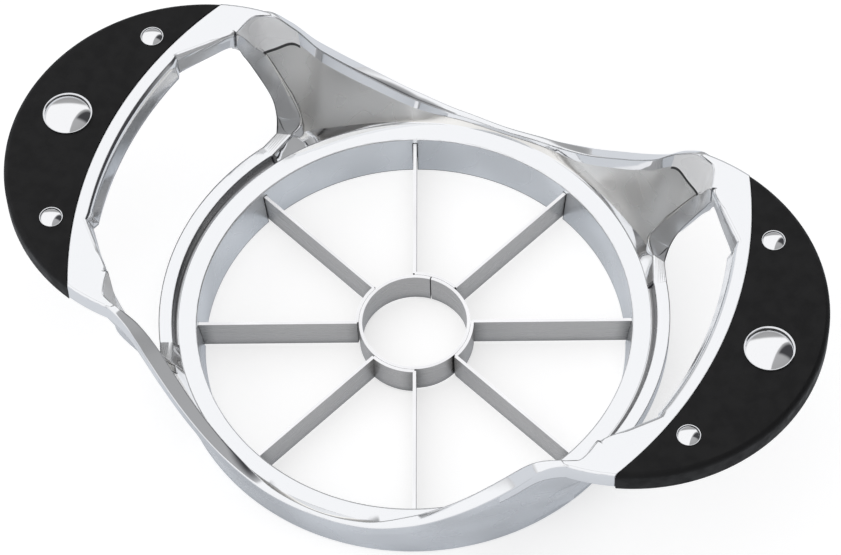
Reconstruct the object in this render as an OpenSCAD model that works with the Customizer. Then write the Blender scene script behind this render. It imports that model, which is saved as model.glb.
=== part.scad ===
// Push-down apple corer and wedger: a cast ring with eight blades, a core
// tube and two raised handles with riveted crescent grips. Nothing moves.
// Millimetres, +Z up. The origin is the middle of the ring on the table,
// +X runs along the length to one handle, +Y across the rails.

/* [Cutting ring] */
// Inside diameter of the ring at its top edge
cut_diameter = 92; // [88:0.5:96]
// How far the inner wall closes in from the top edge to the foot
wall_taper = 1.2; // [0.6:0.1:1.8]
// Height of the ring's flat top face over the table
ring_height = 9.8; // [9.2:0.1:11]
// Width of the flat top face
face_width = 3.9; // [3.4:0.1:4.6]
// Width of the cove between the top face and the raised band
cove_width = 1.2; // [0.9:0.1:1.6]
// Width of the raised band beside each finger opening
band_width = 2.8; // [2.4:0.1:3.4]
// Height of the raised band over the top face
band_rise = 2.1; // [1.6:0.1:2.8]
// Width of the ring's foot
foot_width = 6.3; // [5.6:0.1:6.8]
// Rounding of the foot's outer edge
foot_round = 0.8; // [0.5:0.1:1.1]

/* [Rails and webs] */
// Width of the rails at mid length, where they are narrowest
rail_mid_width = 1.2; // [1:0.1:1.6]
// Width of the rails' rim where they climb to the handle plates
rail_width = 3.3; // [2.8:0.1:4]
// Height of the rails over the top face at mid length
rail_rise = 1.3; // [0.9:0.1:2]
// Height of the straight edge round the outside of the rails
rail_edge = 2.6; // [2.2:0.1:3.2]
// Rounding of the rails' rim
rim_round = 0.35; // [0.2:0.05:0.45]
// How far the ramp at each plate's end runs in plan
ramp_run = 2.6; // [2:0.1:3.2]
// How far the ramp drops from the handle plate to the web
ramp_drop = 9.8; // [8:0.1:11]
// Width of the raised strip between each web and its finger opening
ridge_width = 1; // [0.7:0.1:1.3]

/* [Handles] */
// Height of the handle plates' top over the table
handle_height = 43.7; // [41:0.1:47]
// Thickness of the handle plates
plate_thickness = 4.8; // [4.3:0.1:5.4]
// Plan distance from the ring's band to the handle bar
finger_gap = 10; // [9:0.1:11.5]
// Width of metal between each finger opening's side and the handle's outline
arm_width = 6.8; // [5.8:0.1:8.2]
// Width of the bar between the finger opening and the grip
bar_width = 4.4; // [4:0.1:5.2]
// Width of the bevel round the finger opening on the bar's top
bar_bevel = 1.6; // [1:0.1:2]
// Width of the grip at its middle
grip_width = 19.7; // [18.5:0.1:21]
// Radius of the grip's outer edge
grip_outer_radius = 40.2; // [39.5:0.1:41]
// Radius of the grip's edge along the bar
grip_inner_radius = 87; // [84:1:92]
// How far the grip stands over the handle plate
grip_proud = 0.15; // [0:0.05:0.4]
// Thickness of the metal tang between the two grip scales
tang_thickness = 1.6; // [1.2:0.1:2]
// How far the tang stays inside the grip's outer edge
tang_inset = 1.8; // [1.4:0.1:2.4]
// Thickness of the upper grip scale over the tang
upper_thickness = 2.6; // [2.2:0.1:3]
// Thickness of the lower grip scale under the tang
lower_thickness = 2; // [1.7:0.1:2.6]
// Rounding of the grip's outer edges
grip_round = 1.4; // [0.8:0.1:1.6]

/* [Blades] */
// Height of the blades and the core tube
blade_height = 8.1; // [7.4:0.1:8.4]
// Thickness of the blade strip
blade_thickness = 0.7; // [0.5:0.1:0.9]
// Height of the cutting edges over the table
edge_lift = 0.3; // [0.2:0.1:0.5]
// Width left at the ground cutting edges
edge_land = 0.1; // [0.05:0.01:0.2]
// Height of the ground bevel at the cutting edges
bevel_height = 1.2; // [0.8:0.1:1.6]
// Outside diameter of the core tube
core_diameter = 23.6; // [21:0.1:26]
// Gap of the butt seam in the core tube
seam_gap = 0.25; // [0.15:0.05:0.4]
// How deep the blade ends sit in the ring's pockets
pocket_depth = 2; // [1.5:0.1:2.4]

/* [Rivets] */
// Diameter of the large rivet heads
large_head = 10.3; // [9:0.1:11.5]
// Height of the large rivet heads
large_dome = 2.5; // [1.8:0.1:3]
// Diameter of the large rivets' tubular shanks
large_shank = 5; // [4.4:0.1:5.6]
// Distance of the large rivets from the grip's bar edge
large_inset = 9.2; // [8.4:0.1:10]
// Diameter of the small rivet heads
small_head = 4.8; // [4.4:0.1:5.4]
// Height of the small rivet heads
small_dome = 1.3; // [1:0.1:1.7]
// Diameter of the small rivets' tubular shanks
small_shank = 3; // [2.8:0.1:3.4]
// Distance of the small rivets from the grip's bar edge
small_inset = 4.8; // [4.2:0.1:5.4]
// Sideways distance of the small rivets from the middle
small_side = 24.7; // [23:0.1:26]
// Wall of the tubular shanks
shank_wall = 0.7; // [0.6:0.05:0.8]

/* [Clearances] */
// Gap all round the blades in their pockets
pocket_clearance = 0.1; // [0.05:0.01:0.2]
// Gap between the core tube and the blade strips wrapped on it
wrap_clearance = 0.05; // [0.03:0.01:0.1]
// Gap round the rivet shanks and inside them
rivet_clearance = 0.05; // [0.03:0.01:0.1]
// Gap between the grip scales and the bar and tang edges
grip_clearance = 0.1; // [0.05:0.01:0.2]

/* [Hidden] */
// One overrun for every cut, and one small bite for every weld
overrun = 3;
weld = 0.05;
round_steps = 48;
ring_steps = 180;
blade_count = 8;
wedge = 360 / blade_count;

// Radii of the ring, from the cut outwards
ring_r = cut_diameter / 2;
wall_foot_r = ring_r - wall_taper;
face_r = ring_r + face_width;
crest_r = face_r + cove_width;
band_r = crest_r + band_width;
foot_r = wall_foot_r + foot_width;
core_r = core_diameter / 2;
heart_r = (ring_r + face_r) / 2;
rail_mid_r = crest_r + rail_mid_width;

// Heights
band_z = ring_height + band_rise;
rail_mid_z = ring_height + rail_rise;
plate_z = handle_height - plate_thickness;
blade_top = edge_lift + blade_height;
grip_top = handle_height + grip_proud;
tang_top = grip_top - upper_thickness;
tang_z = tang_top - tang_thickness;
grip_z = tang_z - lower_thickness;

// Places along X: the bar, the grip and the centres of the grip's two arcs
bar_x = band_r + finger_gap;
grip_x = bar_x + bar_width;
end_x = grip_x + grip_width;
outer_cx = end_x - grip_outer_radius;
inner_cx = grip_x - grip_inner_radius;
small_x = inner_cx + sqrt(pow(grip_inner_radius, 2) - pow(small_side, 2))
  + small_inset;
large_x = grip_x + large_inset;

// Half width of each finger opening
opening_half = grip_outer_radius - arm_width;

// Turn of the core tube's seam, and where the rails run into the handle plates
seam_angle = 95;
arm_angle = 39;
arm_r = outer_cx * cos(arm_angle)
  + sqrt(pow(grip_outer_radius, 2) - pow(outer_cx * sin(arm_angle), 2));
reach = arm_r - rail_mid_r;
rise = handle_height - rail_mid_z;

// The flared skirt's stations over a quarter turn from the X axis. Each row
// is angle, reach of the rim, height of the rim, rim width, set-back and drop
// of the web under the rim, the web's bulge in reach and height, and how far
// the outside edge deepens to the plate's.
skirt_shares = [
  [31.0, 1.147, 0.999, 0.95, 0.25, 0.12, 0.56, 0.26, 0.85],
  [33.5, 1.147, 0.999, 0.70, 0.70, 0.56, 0.56, 0.26, 0.85],
  [36.0, 1.147, 0.999, 0.52, 0.95, 1.00, 0.56, 0.26, 0.85],
  [39.0, 1.000, 0.998, 0.55, 0.85, 0.82, 0.54, 0.27, 0.80],
  [42.5, 0.784, 0.908, 0.80, 0.25, 0.44, 0.48, 0.28, 0.45],
  [47.3, 0.586, 0.700, 1.00, 0.17, 0.38, 0.42, 0.26, 0.10],
  [57.7, 0.336, 0.393, 0.90, 0.15, 0.34, 0.38, 0.20, 0.00],
  [68.3, 0.160, 0.168, 0.76, 0.12, 0.28, 0.40, 0.20, 0.00],
  [79.0, 0.052, 0.040, 0.45, 0.10, 0.14, 0.50, 0.50, 0.00],
  [90.0, 0.000, 0.000, 0.36, 0.08, 0.10, 0.50, 0.50, 0.00]];

// The strip round each finger opening beyond the band: its ridge over the web
// and its lower lip. Each row is the place from the band's corner to the bar,
// the sideways place, and the height from the band to the handle plate.
corner_angle = 36;
corner_x = band_r * cos(corner_angle);
ridge_shares = [
  [-0.085, 0.940, 0.055], [-0.150, 0.995, 0.178], [0.060, 1.050, 0.435],
  [0.281, 1.078, 0.694], [0.384, 1.018, 0.850], [0.488, 0.952, 1.000],
  [0.715, 0.808, 1.000], [0.941, 0.664, 1.000]];
lip_shares = [
  [0.065, 0.905, 0.065], [0.090, 0.955, 0.200], [0.165, 0.990, 0.350],
  [0.330, 0.985, 0.600], [0.425, 0.970, 0.745], [0.512, 0.938, 0.870],
  [0.715, 0.785, 0.870], [0.905, 0.638, 0.870]];
band_angles = [for (a = [0:5:30]) a];
bar_lip_share = 0.870;

// How far the wall under the lip falls back, and how soon along the lip
relief_share = 0.65;
relief_gain = 3;

// The cove at the band's foot: reach and height of its top, and its bulge
cove_shares = [0.8, 0.6, 0.6, 0.2];

// The raised strip's section: outer edges of its top and of its foot, and the
// drop of its shoulder
strip_shares = [0.3, 1.3, 0.4];

// Inner end of the handle plate's edge, and the middle of a rounded corner
plate_end_share = 0.95;
round_share = 1 - cos(45);

// Steps along the strip, round the bar, across the flare, the web and the wall
strip_steps = [6, 6, 3, 3, 3, 2, 2];
bar_steps = 5;
flare_steps = 3;
web_steps = 6;
wall_steps = 4;

function lerp(a, b, t) = a + (b - a) * t;

// Smooth curve through the rows of a table, column k at abscissa a. It rises
// or falls only where the table does.
function row_at(t, a, i = 0) =
  i + 2 >= len(t) || t[i + 1][0] > a ? i : row_at(t, a, i + 1);
function step_slope(t, i, k) =
  (t[i + 1][k] - t[i][k]) / (t[i + 1][0] - t[i][0]);
function slope(t, i, k) =
  i == 0 || i == len(t) - 1 ? 0
  : let (before = step_slope(t, i - 1, k), after = step_slope(t, i, k))
    before * after > 0 ? 2 * before * after / (before + after) : 0;
function smooth(t, a, k) =
  let (
    i = row_at(t, a),
    w = t[i + 1][0] - t[i][0],
    u = (a - t[i][0]) / w)
  t[i][k] * (1 + 2 * u) * pow(1 - u, 2)
  + t[i + 1][k] * (3 - 2 * u) * u * u
  + slope(t, i, k) * w * u * pow(1 - u, 2)
  - slope(t, i + 1, k) * w * (1 - u) * u * u;

// Points on a smooth curve through a list of points, n[i] to stretch i
function spline(p, n) = [
  for (i = [0:len(p) - 2], j = [0:n[i] - 1])
    let (
      u = j / n[i],
      a = p[max(i - 1, 0)], b = p[i], c = p[i + 1],
      d = p[min(i + 2, len(p) - 1)])
    b + (c - a) * u / 2 + (2 * a - 5 * b + 4 * c - d) * u * u / 2
      + (3 * b - a - 3 * c + d) * pow(u, 3) / 2,
  p[len(p) - 1]];

// One solid through a row of sections with equal, even numbers of points.
// An end is closed by a ladder between the two halves of its section.
module loft(rows, closed = false) {
  n = len(rows[0]);
  m = len(rows);
  last = closed ? m - 1 : m - 2;
  ladder = [for (j = [0:n / 2 - 2])
    each [[j, j + 1, n - 2 - j], [j, n - 2 - j, n - 1 - j]]];
  polyhedron(
    points = [for (row = rows, p = row) p],
    faces = concat(
      [for (i = [0:last], j = [0:n - 1])
        let (a = i * n, b = ((i + 1) % m) * n, k = (j + 1) % n)
        each [[a + j, b + k, a + k], [a + j, b + j, b + k]]],
      closed ? [] : ladder,
      closed ? [] : [for (f = ladder) [for (i = [2:-1:0]) (m - 1) * n + f[i]]]));
}

// Outer radius, height and inner radius of the rim at an angle from the X axis
function rim_at(a) =
  let (out_r = rail_mid_r + reach * smooth(skirt_shares, a, 1))
  a < skirt_shares[0][0]
  ? [band_r + 2 * rim_round, band_z + 2 * rim_round, crest_r + rim_round / 2]
  : [out_r, rail_mid_z + rise * smooth(skirt_shares, a, 2),
     out_r - rail_width * smooth(skirt_shares, a, 3)];

// Section of the skirt at an angle from the X axis, as radius and height:
// along the web from the ring's top face, over the rim and down the outside
function skirt_section(a) =
  let (
    band = a < skirt_shares[0][0],
    row = [for (k = [0:8]) band ? 0 : smooth(skirt_shares, a, k)],
    rim = rim_at(a),
    out_r = rim[0],
    rim_z = rim[1],
    rim_r = rim[2],
    web_r = band ? lerp(face_r, crest_r, cove_shares[0])
      : rim_r - ramp_run * row[4],
    web_z = band ? lerp(ring_height, band_z, cove_shares[1])
      : rim_z - ramp_drop * row[5],
    bulge_r = lerp(face_r, web_r, band ? cove_shares[2] : row[6]),
    bulge_z = lerp(ring_height, web_z, band ? cove_shares[3] : row[7]),
    edge_z = rim_z - lerp(rail_edge, plate_thickness, band ? 0 : row[8]),
    step = rim_round,
    half_step = round_share * step)
  concat(
    [[heart_r, foot_round], [heart_r, ring_height - foot_round],
     [face_r, ring_height - weld]],
    [for (i = [1:web_steps]) let (t = i / web_steps)
      [pow(1 - t, 2) * face_r + 2 * t * (1 - t) * bulge_r + t * t * web_r,
       pow(1 - t, 2) * (ring_height - weld) + 2 * t * (1 - t) * bulge_z
         + t * t * web_z]],
    [[rim_r, rim_z - step], [rim_r + half_step, rim_z - half_step],
     [rim_r + step, rim_z], [out_r - step, rim_z],
     [out_r - half_step, rim_z - half_step], [out_r, rim_z - step],
     [out_r, edge_z]],
    [for (i = [0:wall_steps]) let (t = i / wall_steps)
      [lerp(out_r - step, foot_r, t), lerp(edge_z - step, 2 * foot_round, t)]],
    [[foot_r, foot_round]]);

quarter = concat(band_angles, [for (a = [31:1.25:46]) a], [48.5],
  [for (a = [51:3:87]) a]);
turn = concat(quarter, [90], [for (i = [len(quarter) - 1:-1:0]) 180 - quarter[i]],
  [for (i = [1:len(quarter) - 1]) 180 + quarter[i]], [270],
  [for (i = [len(quarter) - 1:-1:1]) 360 - quarter[i]]);

module skirt() {
  loft([for (t = turn) [for (p = skirt_section(abs(asin(sin(t)))))
    [p[0] * cos(t), p[0] * sin(t), p[1]]]], closed = true);
}

// The ring itself: tapered cutting wall, flat top face and foot
module ring_body() {
  bevel = foot_round / 2;
  middle = round_share * foot_round;
  rotate_extrude($fn = ring_steps)
    polygon([[wall_foot_r, 0], [foot_r - foot_round, 0],
      [foot_r - middle, middle], [foot_r - weld, foot_round],
      [foot_r - weld, foot_round + bevel],
      [face_r + weld, 3 * foot_round], [face_r + weld, ring_height],
      [ring_r + bevel, ring_height], [ring_r, ring_height - bevel]]);
}

// Half of a line round a finger opening, from the middle of the band over the
// corner to the middle of the bar
function strip_line(band_at, band_at_z, bar_at, shares, bar_height_share) =
  let (
    ends = [for (s = shares)
      [lerp(corner_x, bar_x, s[0]), opening_half * s[1],
       lerp(band_z, handle_height + weld, s[2])]],
    kink = ends[len(ends) - 1],
    r = bar_at - inner_cx,
    fan = asin(kink[1] / r))
  concat(
    [for (a = band_angles) [band_at * cos(a), band_at * sin(a), band_at_z]],
    spline(ends, strip_steps),
    [for (i = [bar_steps - 1:-1:0]) let (a = fan * i / bar_steps)
      [inner_cx + r * cos(a), r * sin(a),
       lerp(band_z, handle_height + weld, bar_height_share)]]);

ridge = strip_line(crest_r, band_z, bar_x + bar_bevel, ridge_shares, 1);
lip = strip_line(band_r, band_z + rim_round, bar_x, lip_shares, bar_lip_share);

// Where the wall under the lip ends: it falls back from the opening where the
// skirt is steep, so that only a thin edge is left
under = [for (i = [0:len(lip) - 1])
  let (
    along = lip[min(i + 1, len(lip) - 1)] - lip[max(i - 1, 0)],
    out = [-along[1], along[0]] / norm([along[0], along[1]]),
    u = (i - len(band_angles)) / (len(lip) - len(band_angles) - bar_steps),
    back = relief_share * plate_thickness
      * min(1, relief_gain * sin(180 * max(0, min(1, u)))))
  [lip[i][0] + back * out[0], lip[i][1] + back * out[1],
   lip[i][2] - plate_thickness]];

// Section across a finger opening between two places on its lines: straight
// up to the wall's end, over the lip, flared to the ridge and straight on up
function opening_side(i) = concat(
  [[under[i][0], under[i][1], -overrun], under[i]],
  [for (j = [0:flare_steps]) lerp(lip[i], ridge[i], j / flare_steps)],
  [[ridge[i][0], ridge[i][1], handle_height + overrun]]);
function opening_section(i, k, side) =
  let (p = opening_side(i), q = opening_side(k))
  [for (c = concat(q, [for (j = [len(p) - 1:-1:0]) p[j]]))
    [c[0], c[1] * side, c[2]]];

// What a finger opening takes away, from one end of the crescent to the other
module finger_cut() {
  half = len(lip) / 2;
  loft(concat(
    [for (i = [0:half - 1]) opening_section(half - 1 - i, half + i, 1)],
    [for (i = [half - 2:-1:0]) opening_section(half - 1 - i, half + i, -1)]));
}

// The raised strip beside a finger opening, from the band up to the plate. It
// grows out of the band at one end and fades into the plate at the other.
module opening_ridge() {
  first = len(band_angles) - 1;
  last = first + 1 + strip_steps[0] + strip_steps[1] + 3 * strip_steps[2];
  loft([for (i = [last:-1:first])
    let (
      p = ridge[i],
      along = ridge[i + 2] - ridge[i - 2],
      out = [-along[1], along[0]] / norm([along[0], along[1]]),
      sink = min(1, (last - i + 1) / (2 * strip_steps[2])),
      fade = min(sink, (i - first + 2) / (2 * strip_steps[0])),
      side = out * ridge_width * fade,
      q = [lip[i][0], lip[i][1]] - out * rim_round,
      low = p[2] - plate_thickness,
      top = p[2] + (sink < 1 ? -weld : weld))
    [[p[0], p[1], low], [q[0], q[1], low], [q[0], q[1], p[2] + ridge_width * sink],
     [p[0] + strip_shares[0] * side[0], p[1] + strip_shares[0] * side[1], top],
     [p[0] + side[0], p[1] + side[1],
      top - strip_shares[2] * ridge_width * fade],
     [p[0] + strip_shares[1] * side[0], p[1] + strip_shares[1] * side[1], low]]]);
}

// Flat disc with both edges rounded, standing on z
module rounded_disc(r, z, height, edge) {
  translate([0, 0, z])
    rotate_extrude($fn = 2 * ring_steps)
      polygon(concat([[0, 0]],
        [for (a = [-90:15:0]) [r - edge + edge * cos(a), edge + edge * sin(a)]],
        [for (a = [0:15:90])
          [r - edge + edge * cos(a), height - edge + edge * sin(a)]],
        [[0, height]]));
}

// Everything beyond the grip's inner arc, where the grip sits
module beyond_bar(gap) {
  difference() {
    translate([inner_cx + grip_inner_radius / 2, -end_x, -overrun])
      cube([2 * end_x, 2 * end_x, handle_height + 3 * overrun]);
    translate([inner_cx, 0, -2 * overrun])
      cylinder(h = handle_height + 5 * overrun, r = grip_inner_radius + gap,
        $fn = 2 * ring_steps);
  }
}

// Handle plate: bar and corners, cut by the arcs of the grip
module handle_plate() {
  edge = [for (i = [3:-1:0])
    let (a = skirt_shares[i][0], r = rim_at(a)[2] + rim_round)
    [r * cos(a), r * sin(a)]];
  far = 2 * arm_r;
  half = concat([[far * cos(arm_angle), far * sin(arm_angle)]], edge,
    [[edge[3][0], plate_end_share * edge[3][1]]]);
  difference() {
    intersection() {
      translate([outer_cx, 0, 0])
        rounded_disc(grip_outer_radius, plate_z, plate_thickness, 2 * rim_round);
      translate([0, 0, plate_z - overrun])
        linear_extrude(plate_thickness + 2 * overrun)
          polygon(concat(half, [[band_r + finger_gap / 2, 0]],
            [for (i = [len(half) - 1:-1:0]) [half[i][0], -half[i][1]]],
            [[far, -far], [far, far]]));
    }
    beyond_bar(0);
  }
}

// Tang: the handle plate's thin middle, between the two grip scales
module tang() {
  intersection() {
    translate([outer_cx, 0, tang_z])
      cylinder(h = tang_thickness, r = grip_outer_radius - tang_inset,
        $fn = 2 * ring_steps);
    beyond_bar(-bar_bevel);
  }
}

// One child at each end of the object
module both_ends() {
  children();
  rotate([0, 0, 180])
    children();
}

// One child at each rivet of one handle
module at_large() {
  translate([large_x, 0, 0])
    children();
}
module at_small() {
  for (s = [-1, 1])
    translate([small_x, s * small_side, 0])
      children();
}
module rivet_hole(shank) {
  translate([0, 0, grip_z - overrun])
    cylinder(h = grip_top - grip_z + 2 * overrun, d = shank + 2 * rivet_clearance,
      $fn = round_steps);
}
module rivet_holes() {
  at_large()
    rivet_hole(large_shank);
  at_small()
    rivet_hole(small_shank);
}

// Pockets in the ring wall that take the blade ends, open at the foot
module blade_pockets() {
  wide = blade_thickness + 2 * pocket_clearance;
  for (i = [0:blade_count - 1])
    rotate([0, 0, (i + 0.5) * wedge])
      translate([wall_foot_r - overrun, -wide / 2, -overrun])
        cube([wall_taper + overrun + pocket_depth + pocket_clearance, wide,
          overrun + blade_top + pocket_clearance]);
}

// The casting: ring, flared skirt with its rails, handle plates and tangs
module frame() {
  color([0.86, 0.88, 0.9])
    difference() {
      union() {
        ring_body();
        skirt();
        both_ends() {
          handle_plate();
          tang();
          for (s = [0, 1])
            mirror([0, s, 0])
              opening_ridge();
        }
      }
      both_ends() {
        finger_cut();
        rivet_holes();
      }
      blade_pockets();
    }
}

// Blade section: a flat strip ground to a thin edge at the foot
function blade_section() = [
  [-edge_land / 2, 0], [edge_land / 2, 0], [blade_thickness / 2, bevel_height],
  [blade_thickness / 2, blade_height], [-blade_thickness / 2, blade_height],
  [-blade_thickness / 2, bevel_height]];

// Core tube with its butt seam
module core_tube() {
  color([0.72, 0.73, 0.74])
    translate([0, 0, edge_lift])
      difference() {
        rotate_extrude($fn = ring_steps)
          translate([core_r - blade_thickness / 2, 0])
            polygon(blade_section());
        rotate([0, 0, seam_angle])
          translate([core_r - overrun, -seam_gap / 2, -overrun])
            cube([2 * overrun, seam_gap, blade_height + 2 * overrun]);
      }
}

// Blade strip: two blades and the bend that wraps an eighth of the core tube
module blade_strip(turned) {
  wrap_r = core_r + wrap_clearance + blade_thickness / 2;
  leg = ring_r + pocket_depth - wrap_r;
  color([0.72, 0.73, 0.74])
    rotate([0, 0, turned])
      translate([0, 0, edge_lift]) {
        rotate([0, 0, -wedge / 2])
          rotate_extrude(angle = wedge, $fn = ring_steps)
            translate([wrap_r, 0])
              polygon(blade_section());
        for (s = [-1, 1])
          rotate([0, 0, s * wedge / 2])
            translate([wrap_r, 0, 0])
              rotate([90, 0, 90])
                linear_extrude(leg)
                  polygon(blade_section());
      }
}
module blade_strip_right() {
  blade_strip(0);
}
module blade_strip_back() {
  blade_strip(90);
}
module blade_strip_left() {
  blade_strip(180);
}
module blade_strip_front() {
  blade_strip(270);
}

// Upper grip scale, hollowed underneath so that it covers the tang's edge
module grip_upper() {
  color([0.06, 0.06, 0.065])
    difference() {
      intersection() {
        translate([outer_cx, 0, 0])
          rounded_disc(grip_outer_radius, tang_z - grip_round,
            grip_top - tang_z + grip_round, grip_round);
        beyond_bar(grip_clearance);
        translate([0, -end_x, tang_z])
          cube([2 * end_x, 2 * end_x, grip_top]);
      }
      translate([outer_cx, 0, tang_z - overrun])
        cylinder(h = tang_thickness + overrun,
          r = grip_outer_radius - tang_inset + grip_clearance,
          $fn = 2 * ring_steps);
      rivet_holes();
    }
}

// Lower grip scale, a plain crescent under the tang
module grip_lower() {
  color([0.06, 0.06, 0.065])
    difference() {
      intersection() {
        translate([outer_cx, 0, 0])
          rounded_disc(grip_outer_radius, grip_z,
            lower_thickness + 2 * grip_round, grip_round);
        beyond_bar(grip_clearance);
        translate([0, -end_x, 0])
          cube([2 * end_x, 2 * end_x, tang_z]);
      }
      rivet_holes();
    }
}
module grip_upper_right() {
  grip_upper();
}
module grip_lower_right() {
  grip_lower();
}
module grip_upper_left() {
  rotate([0, 0, 180])
    grip_upper();
}
module grip_lower_left() {
  rotate([0, 0, 180])
    grip_lower();
}

// Domed head on z with a solid pin hanging from it
module rivet_head(head, dome, shank) {
  pin = shank - 2 * shank_wall - 2 * rivet_clearance;
  ball = (pow(head / 2, 2) + pow(dome, 2)) / (2 * dome);
  fan = asin(head / 2 / ball);
  color([0.86, 0.88, 0.9])
    translate([0, 0, grip_top])
      rotate_extrude($fn = round_steps)
        polygon(concat([[0, dome]],
          [for (i = [1:8]) let (a = fan * i / 8)
            [ball * sin(a), dome - ball + ball * cos(a)]],
          [[pin / 2, 0], [pin / 2, grip_z - grip_top], [0, grip_z - grip_top]]));
}

// Flat back with the tubular shank that takes the head's pin
module rivet_back(head, dome, shank) {
  bore = shank - 2 * shank_wall;
  flat = dome / 2;
  color([0.86, 0.88, 0.9])
    rotate_extrude($fn = round_steps)
      polygon([[0, grip_z - flat], [head / 2 - flat, grip_z - flat],
        [head / 2, grip_z], [shank / 2, grip_z],
        [shank / 2, grip_top - rivet_clearance],
        [bore / 2, grip_top - rivet_clearance],
        [bore / 2, grip_z - rivet_clearance], [0, grip_z - rivet_clearance]]);
}
module rivet_heads_large() {
  both_ends()
    at_large()
      rivet_head(large_head, large_dome, large_shank);
}
module rivet_backs_large() {
  both_ends()
    at_large()
      rivet_back(large_head, large_dome, large_shank);
}
module rivet_heads_small() {
  both_ends()
    at_small()
      rivet_head(small_head, small_dome, small_shank);
}
module rivet_backs_small() {
  both_ends()
    at_small()
      rivet_back(small_head, small_dome, small_shank);
}

frame();
core_tube();
blade_strip_right();
blade_strip_back();
blade_strip_left();
blade_strip_front();
grip_upper_right();
grip_lower_right();
grip_upper_left();
grip_lower_left();
rivet_heads_large();
rivet_backs_large();
rivet_heads_small();
rivet_backs_small();
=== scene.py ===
"""Looks of the push-down apple corer and wedger, around its solids.

The casting, the upper grips and the rivets' domes are built again here from the
sizes of their solids, with finer steps than the solids have, and every piece
gets its finish. Lengths are millimetres until link() turns them into metres.
"""

import math

import bmesh
import bpy
import numpy as np
from mathutils import Matrix, Vector


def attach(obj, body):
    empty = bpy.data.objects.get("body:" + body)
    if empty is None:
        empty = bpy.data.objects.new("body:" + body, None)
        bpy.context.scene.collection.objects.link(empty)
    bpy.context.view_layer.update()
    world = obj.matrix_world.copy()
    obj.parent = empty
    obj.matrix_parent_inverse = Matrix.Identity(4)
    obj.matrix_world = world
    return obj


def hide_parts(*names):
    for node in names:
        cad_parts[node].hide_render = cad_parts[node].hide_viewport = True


MM = 0.001

# The camera, fitted to the photograph
PHOTO_WIDTH = 841
SENSOR = 36.0
FOCAL_PIXELS = 3808.08
CAMERA_AZIMUTH = 24.37
CAMERA_ELEVATION = 57.09
CAMERA_ROLL = -2.15
CAMERA_PLACE = (1.26, 9.33, 806.04)
CAMERA_CLIP = (0.01, 20)
AIM_HEIGHT = 8.4

# Ring
RING_R = 46.0
WALL_TAPER = 1.2
RING_HEIGHT = 9.8
FACE_WIDTH = 3.9
FACE_TILT = 0.5
COVE_WIDTH = 1.2
BAND_WIDTH = 2.8
BAND_RISE = 2.1
FOOT_WIDTH = 6.3
FOOT_ROUND = 0.8

# Rails and webs
RAIL_MID_WIDTH = 1.2
RAIL_WIDTH = 3.3
RAIL_RISE = 1.3
RAIL_EDGE = 2.6
RIM_ROUND = 0.35
RAMP_RUN = 2.6
RAMP_DROP = 9.8

# Handles
HANDLE_HEIGHT = 43.7
PLATE_THICKNESS = 4.8
PLATE_ROUND = 1.3
PLATE_END_SHARE = 0.95
FINGER_GAP = 10.0
ARM_WIDTH = 6.8
ARM_ANGLE = 39.0
CORNER_ANGLE = 36.0
BAR_WIDTH = 4.4
BAR_BEVEL = 1.6
GRIP_WIDTH = 19.7
GRIP_OUTER_R = 40.2
GRIP_INNER_R = 87.0
GRIP_PROUD = 0.15
TANG_THICKNESS = 1.6
TANG_INSET = 1.8
UPPER_THICKNESS = 2.6
LOWER_THICKNESS = 2.0
GRIP_ROUND = 1.4
GRIP_CLEARANCE = 0.1

# Blades
BLADE_COUNT = 8
BLADE_TOP = 8.4
POCKET_DEPTH = 2.1
POCKET_WIDTH = 0.9
POCKET_CLEARANCE = 0.1

# Rivets. A dome's rolled rim is an arc: its radius in the dome's height, the
# height of its centre in that radius, and its two angles
LARGE_RIVET = {"head": 10.3, "dome": 2.5, "shank": 5.0, "inset": 9.2}
SMALL_RIVET = {"head": 4.8, "dome": 1.3, "shank": 3.0, "inset": 4.8}
SMALL_SIDE = 24.7
RIVET_CLEARANCE = 0.05
SHANK_WALL = 0.7
DOME_RIM_SHARE = 0.12
DOME_RIM_LIFT = 0.9
DOME_RIM_ARC = (20, -64)

# Radii, heights and places that follow from them
WALL_FOOT_R = RING_R - WALL_TAPER
FACE_R = RING_R + FACE_WIDTH
CREST_R = FACE_R + COVE_WIDTH
BAND_R = CREST_R + BAND_WIDTH
FOOT_R = WALL_FOOT_R + FOOT_WIDTH
RAIL_MID_R = CREST_R + RAIL_MID_WIDTH
BAND_Z = RING_HEIGHT + BAND_RISE
RAIL_MID_Z = RING_HEIGHT + RAIL_RISE
GRIP_TOP = HANDLE_HEIGHT + GRIP_PROUD
TANG_Z = GRIP_TOP - UPPER_THICKNESS - TANG_THICKNESS
GRIP_Z = TANG_Z - LOWER_THICKNESS
BAR_X = BAND_R + FINGER_GAP
GRIP_X = BAR_X + BAR_WIDTH
OUTER_X = GRIP_X + GRIP_WIDTH - GRIP_OUTER_R
INNER_X = GRIP_X - GRIP_INNER_R
OPENING_HALF = GRIP_OUTER_R - ARM_WIDTH
LARGE_X = GRIP_X + LARGE_RIVET["inset"]
SMALL_X = INNER_X + math.sqrt(GRIP_INNER_R ** 2 - SMALL_SIDE ** 2) + SMALL_RIVET["inset"]
CORNER_X = BAND_R * math.cos(math.radians(CORNER_ANGLE))
ARM_R = OUTER_X * math.cos(math.radians(ARM_ANGLE)) + math.sqrt(
    GRIP_OUTER_R ** 2 - (OUTER_X * math.sin(math.radians(ARM_ANGLE))) ** 2)

# How far a cutting tool reaches past what it cuts, and a length too short to see
OVERRUN = 3.0
WELD = 0.05

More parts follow.
